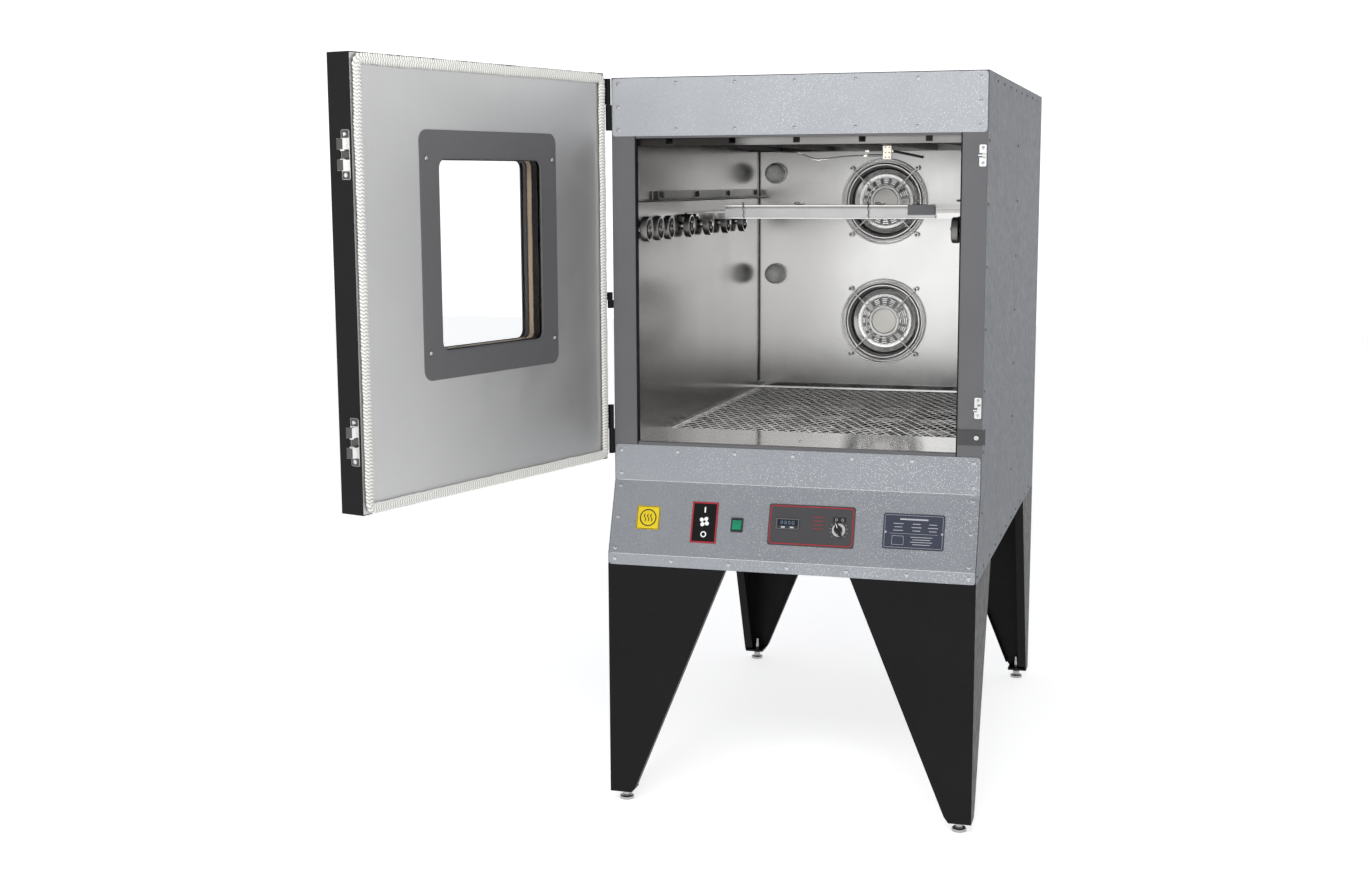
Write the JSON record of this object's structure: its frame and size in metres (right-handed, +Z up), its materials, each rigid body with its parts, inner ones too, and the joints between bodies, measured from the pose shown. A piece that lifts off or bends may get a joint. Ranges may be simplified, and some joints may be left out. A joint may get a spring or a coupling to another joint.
{
  "type": "floor-standing infrared sheet heating oven",
  "caption": "Floor-standing electric oven with a windowed side-hung door, roller carrier, heater racks, fans and a sloping control panel on four tapered legs.",
  "frame": {"origin": "centre of the front left levelling foot's underside, on the floor", "axes": "+Z up, +X to the oven's right seen from the front, +Y to its back; the door opening faces -Y"},
  "size_m": [1.15, 2.1072, 1.6725],
  "materials": {
    "cabinet_grey": "fine textured powder coat",
    "black_powder": "satin black powder coat",
    "hinge_black": "satin black",
    "screws_dark": "darkened",
    "knob_black": "moulded",
    "carrier_steel": "satin stainless",
    "chamber_steel": "bright rolled stainless",
    "catch_steel": "turned",
    "handle_black": "satin",
    "wool": "mineral wool batt",
    "liner_steel": "satin stainless",
    "motor_paint": "plain",
    "wheel_steel": "galvanised",
    "mesh_steel": "expanded mesh",
    "foot_chrome": "plated",
    "charcoal_texture": "textured powder coat",
    "gasket_braid": "braided glass fibre",
    "emitter_ceramic": "glazed black ceramic",
    "lamp_glass": "clear pressed glass over a reflector",
    "sparkle_grey": "hammered sparkle powder coat",
    "device_plastic": "moulded",
    "overlay_plastic": "printed film",
    "rocker_green": "translucent moulded",
    "axle_steel": "plated",
    "roller_steel": "pressed bearing wheel",
    "probe_black": "ceramic and blackened steel",
    "window_glass": "toughened",
    "seal_tan": "woven tape"
  },
  "bodies": {
    "cabinet": {"back_panel": "cabinet_grey", "base_pan": "black_powder", "cabinet_hinge_leaves": "hinge_black", "cabinet_screws": "screws_dark", "cable_gland": "knob_black", "chamber_liner": "chamber_steel", "corner_plate": "chamber_steel", "fan_inlets": "chamber_steel", "fan_motors": "motor_paint", "floor_mesh": "mesh_steel", "floor_trims": "chamber_steel", "front_frame": "charcoal_texture", "heater_elements": "emitter_ceramic", "heater_racks": "liner_steel", "insulation": "wool", "lamps": "lamp_glass", "legs": "black_powder", "lower_fascia": "sparkle_grey", "panel_devices": "device_plastic", "panel_plates": "overlay_plastic", "roller_axles": "axle_steel", "sheet_rails": "chamber_steel", "side_panels": "cabinet_grey", "strikes": "chamber_steel", "temperature_probe": "probe_black", "top_cover": "black_powder", "upper_fascia": "sparkle_grey"},
    "door": {"door_shell": "black_powder", "door_liner": "liner_steel", "door_insulation": "wool", "window_panes": "window_glass", "window_seal": "seal_tan", "window_trims": "charcoal_texture", "gasket": "gasket_braid", "door_handle": "handle_black", "catch_bodies": "chamber_steel", "door_hinge_leaves": "hinge_black"},
    "carrier": {"carrier_frame": "carrier_steel", "carrier_bar": "carrier_steel"},
    "catch_plunger_lower_bottom": {"catch_plunger_lower_bottom": "catch_steel"},
    "catch_plunger_lower_top": {"catch_plunger_lower_top": "catch_steel"},
    "catch_plunger_upper_bottom": {"catch_plunger_upper_bottom": "catch_steel"},
    "catch_plunger_upper_top": {"catch_plunger_upper_top": "catch_steel"},
    "fan_wheel_lower": {"fan_wheel_lower": "wheel_steel"},
    "fan_wheel_upper": {"fan_wheel_upper": "wheel_steel"},
    "foot_back_left": {"foot_back_left": "foot_chrome"},
    "foot_back_right": {"foot_back_right": "foot_chrome"},
    "foot_front_left": {"foot_front_left": "foot_chrome"},
    "foot_front_right": {"foot_front_right": "foot_chrome"},
    "power_rocker": {"power_rocker": "rocker_green"},
    "roller_pair_1": {"roller_pair_1": "roller_steel"},
    "roller_pair_2": {"roller_pair_2": "roller_steel"},
    "roller_pair_3": {"roller_pair_3": "roller_steel"},
    "roller_pair_4": {"roller_pair_4": "roller_steel"},
    "roller_pair_5": {"roller_pair_5": "roller_steel"},
    "roller_pair_6": {"roller_pair_6": "roller_steel"},
    "roller_pair_7": {"roller_pair_7": "roller_steel"},
    "selector_knob": {"selector_knob": "knob_black"},
    "timer_key_left": {"timer_key_left": "device_plastic"},
    "timer_key_right": {"timer_key_right": "device_plastic"}
  },
  "joints": [
    {"name": "door_hinge", "type": "hinge", "parent": "cabinet", "child": "door", "pos_m": [-0.036, 0.022, 1.234], "axis": [0, 0, -1], "range_deg": [-105.8, 60]},
    {"name": "carrier_slide", "type": "slide", "parent": "cabinet", "child": "carrier", "axis": [0, -1, 0], "range_m": [-0.13, 0.6]},
    {"name": "roller_spin_1", "type": "hinge", "parent": "cabinet", "child": "roller_pair_1", "pos_m": [0.039, 0.062, 1.326], "axis": [1, 0, 0], "range_deg": [-275, 1240]},
    {"name": "roller_spin_2", "type": "hinge", "parent": "cabinet", "child": "roller_pair_2", "pos_m": [0.039, 0.149, 1.326], "axis": [1, 0, 0], "range_deg": [-275, 1240]},
    {"name": "roller_spin_3", "type": "hinge", "parent": "cabinet", "child": "roller_pair_3", "pos_m": [0.039, 0.236, 1.326], "axis": [1, 0, 0], "range_deg": [-275, 1240]},
    {"name": "roller_spin_4", "type": "hinge", "parent": "cabinet", "child": "roller_pair_4", "pos_m": [0.039, 0.41, 1.326], "axis": [1, 0, 0], "range_deg": [-275, 1240]},
    {"name": "roller_spin_5", "type": "hinge", "parent": "cabinet", "child": "roller_pair_5", "pos_m": [0.039, 0.584, 1.326], "axis": [1, 0, 0], "range_deg": [-275, 1240]},
    {"name": "roller_spin_6", "type": "hinge", "parent": "cabinet", "child": "roller_pair_6", "pos_m": [0.039, 0.758, 1.326], "axis": [1, 0, 0], "range_deg": [-275, 1240]},
    {"name": "roller_spin_7", "type": "hinge", "parent": "cabinet", "child": "roller_pair_7", "pos_m": [0.039, 0.932, 1.326], "axis": [1, 0, 0], "range_deg": [-275, 1240]},
    {"name": "fan_spin_upper", "type": "hinge", "parent": "cabinet", "child": "fan_wheel_upper", "pos_m": [0.389, 1.2067, 1.376], "axis": [0, 1, 0], "continuous": true},
    {"name": "fan_spin_lower", "type": "hinge", "parent": "cabinet", "child": "fan_wheel_lower", "pos_m": [0.389, 1.2067, 1.0375], "axis": [0, 1, 0], "continuous": true},
    {"name": "rocker_tilt", "type": "hinge", "parent": "cabinet", "child": "power_rocker", "pos_m": [0.2685, -0.00224, 0.66653], "axis": [1, 0, 0], "range_deg": [0, 16]},
    {"name": "selector_turn", "type": "hinge", "parent": "cabinet", "child": "selector_knob", "pos_m": [0.501, -0.0079, 0.66851], "axis": [0, -0.9442, 0.3293], "range_deg": [-50, 0]},
    {"name": "timer_key_left_press", "type": "slide", "parent": "cabinet", "child": "timer_key_left", "axis": [0, 0.9442, -0.3293], "range_m": [0, 0.0008], "stiffness_N_per_m": 300},
    {"name": "timer_key_right_press", "type": "slide", "parent": "cabinet", "child": "timer_key_right", "axis": [0, 0.9442, -0.3293], "range_m": [0, 0.0008], "stiffness_N_per_m": 300},
    {"name": "foot_front_left_screw", "type": "hinge", "parent": "cabinet", "child": "foot_front_left", "pos_m": [0, 0, 0.03], "axis": [0, 0, 1], "continuous": true},
    {"name": "foot_front_right_screw", "type": "hinge", "parent": "cabinet", "child": "foot_front_right", "pos_m": [0.778, 0, 0.03], "axis": [0, 0, 1], "continuous": true},
    {"name": "foot_back_left_screw", "type": "hinge", "parent": "cabinet", "child": "foot_back_left", "pos_m": [0, 1.268, 0.03], "axis": [0, 0, 1], "continuous": true},
    {"name": "foot_back_right_screw", "type": "hinge", "parent": "cabinet", "child": "foot_back_right", "pos_m": [0.778, 1.268, 0.03], "axis": [0, 0, 1], "continuous": true},
    {"name": "catch_lower_top_spring", "type": "slide", "parent": "door", "child": "catch_plunger_lower_top", "axis": [0, 0, 1], "range_m": [0, 0.0022], "stiffness_N_per_m": 2000},
    {"name": "catch_lower_bottom_spring", "type": "slide", "parent": "door", "child": "catch_plunger_lower_bottom", "axis": [0, 0, -1], "range_m": [0, 0.0022], "stiffness_N_per_m": 2000},
    {"name": "catch_upper_top_spring", "type": "slide", "parent": "door", "child": "catch_plunger_upper_top", "axis": [0, 0, 1], "range_m": [0, 0.0022], "stiffness_N_per_m": 2000},
    {"name": "catch_upper_bottom_spring", "type": "slide", "parent": "door", "child": "catch_plunger_upper_bottom", "axis": [0, 0, -1], "range_m": [0, 0.0022], "stiffness_N_per_m": 2000}
  ],
  "couplings": [
    {"joint": "roller_spin_1", "follows": "carrier_slide", "rad_per_m": 35.714},
    {"joint": "roller_spin_2", "follows": "carrier_slide", "rad_per_m": 35.714},
    {"joint": "roller_spin_3", "follows": "carrier_slide", "rad_per_m": 35.714},
    {"joint": "roller_spin_4", "follows": "carrier_slide", "rad_per_m": 35.714},
    {"joint": "roller_spin_5", "follows": "carrier_slide", "rad_per_m": 35.714},
    {"joint": "roller_spin_6", "follows": "carrier_slide", "rad_per_m": 35.714},
    {"joint": "roller_spin_7", "follows": "carrier_slide", "rad_per_m": 35.714}
  ]
}
